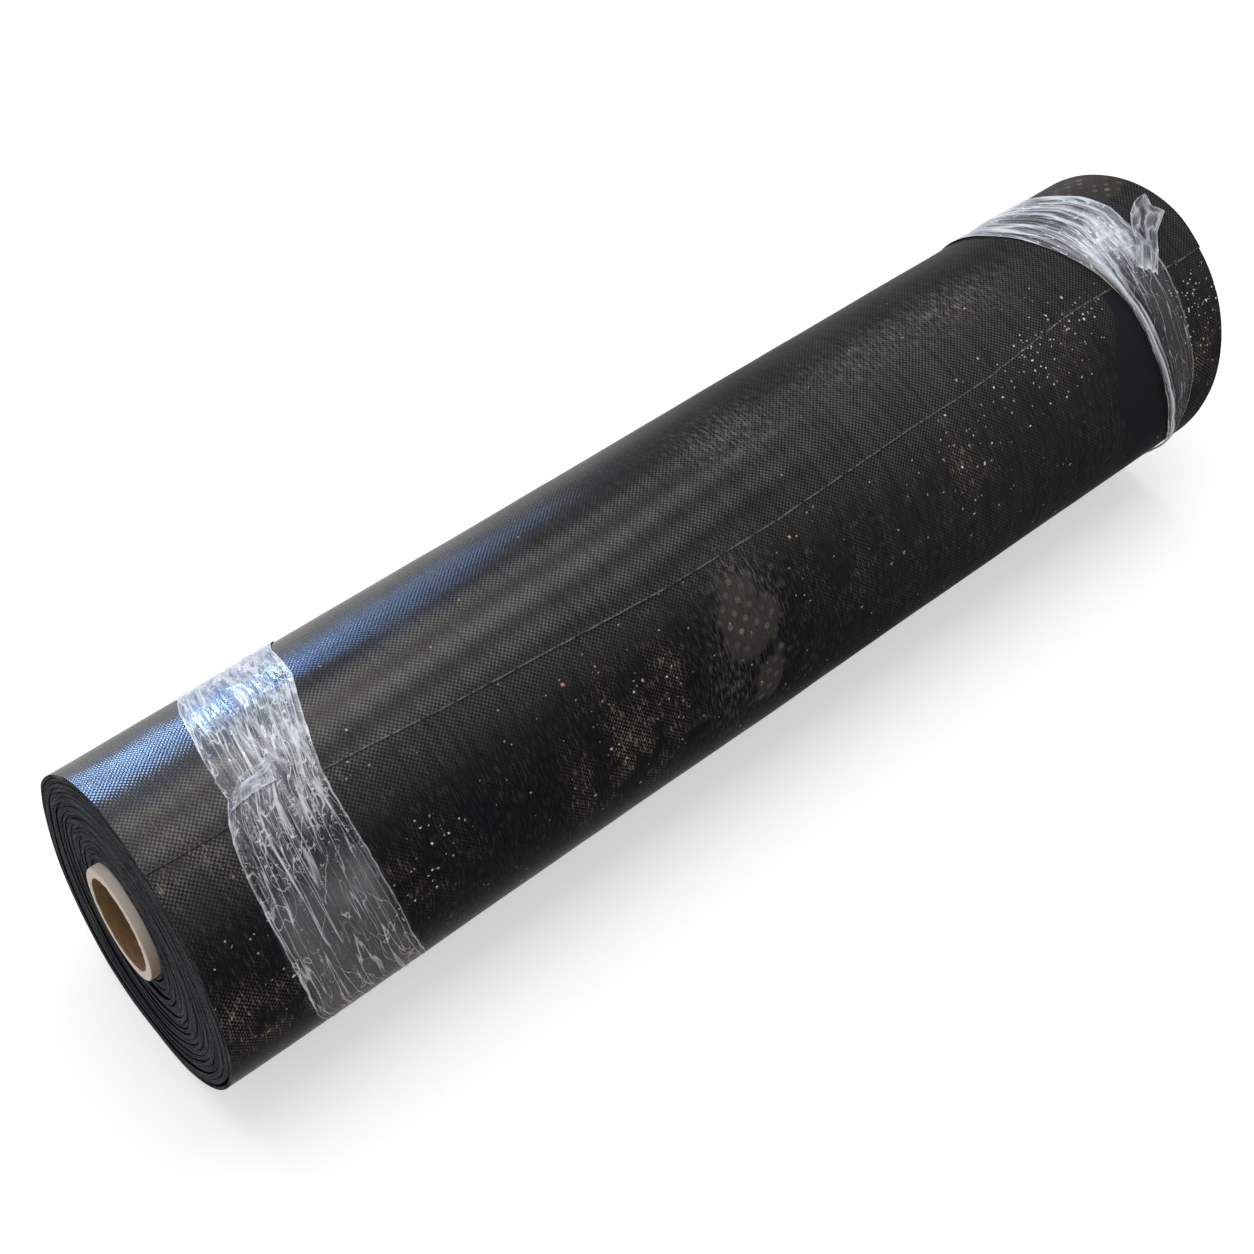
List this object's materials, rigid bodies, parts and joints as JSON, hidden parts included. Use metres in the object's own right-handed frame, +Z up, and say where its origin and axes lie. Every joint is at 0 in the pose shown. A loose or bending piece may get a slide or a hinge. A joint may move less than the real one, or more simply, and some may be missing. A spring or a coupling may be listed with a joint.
{
  "type": "roll of roofing membrane",
  "caption": "Roll of thick black embossed roofing membrane wound on a cardboard core, lying on its side and held by two bands of clear stretch film.",
  "frame": {"origin": "on the floor under the middle of the roll", "axes": "+X along the core from the near end to the far end, +Y from the front to the back, +Z up from the floor"},
  "size_m": [1.016, 0.2462, 0.2472],
  "materials": {
    "bitumen_sheet": "satin",
    "cardboard": "matte",
    "stretch_film": "gloss"
  },
  "bodies": {
    "root": {"membrane": "bitumen_sheet", "core": "cardboard", "near_film_band": "stretch_film", "far_film_band": "stretch_film"}
  },
  "joints": []
}
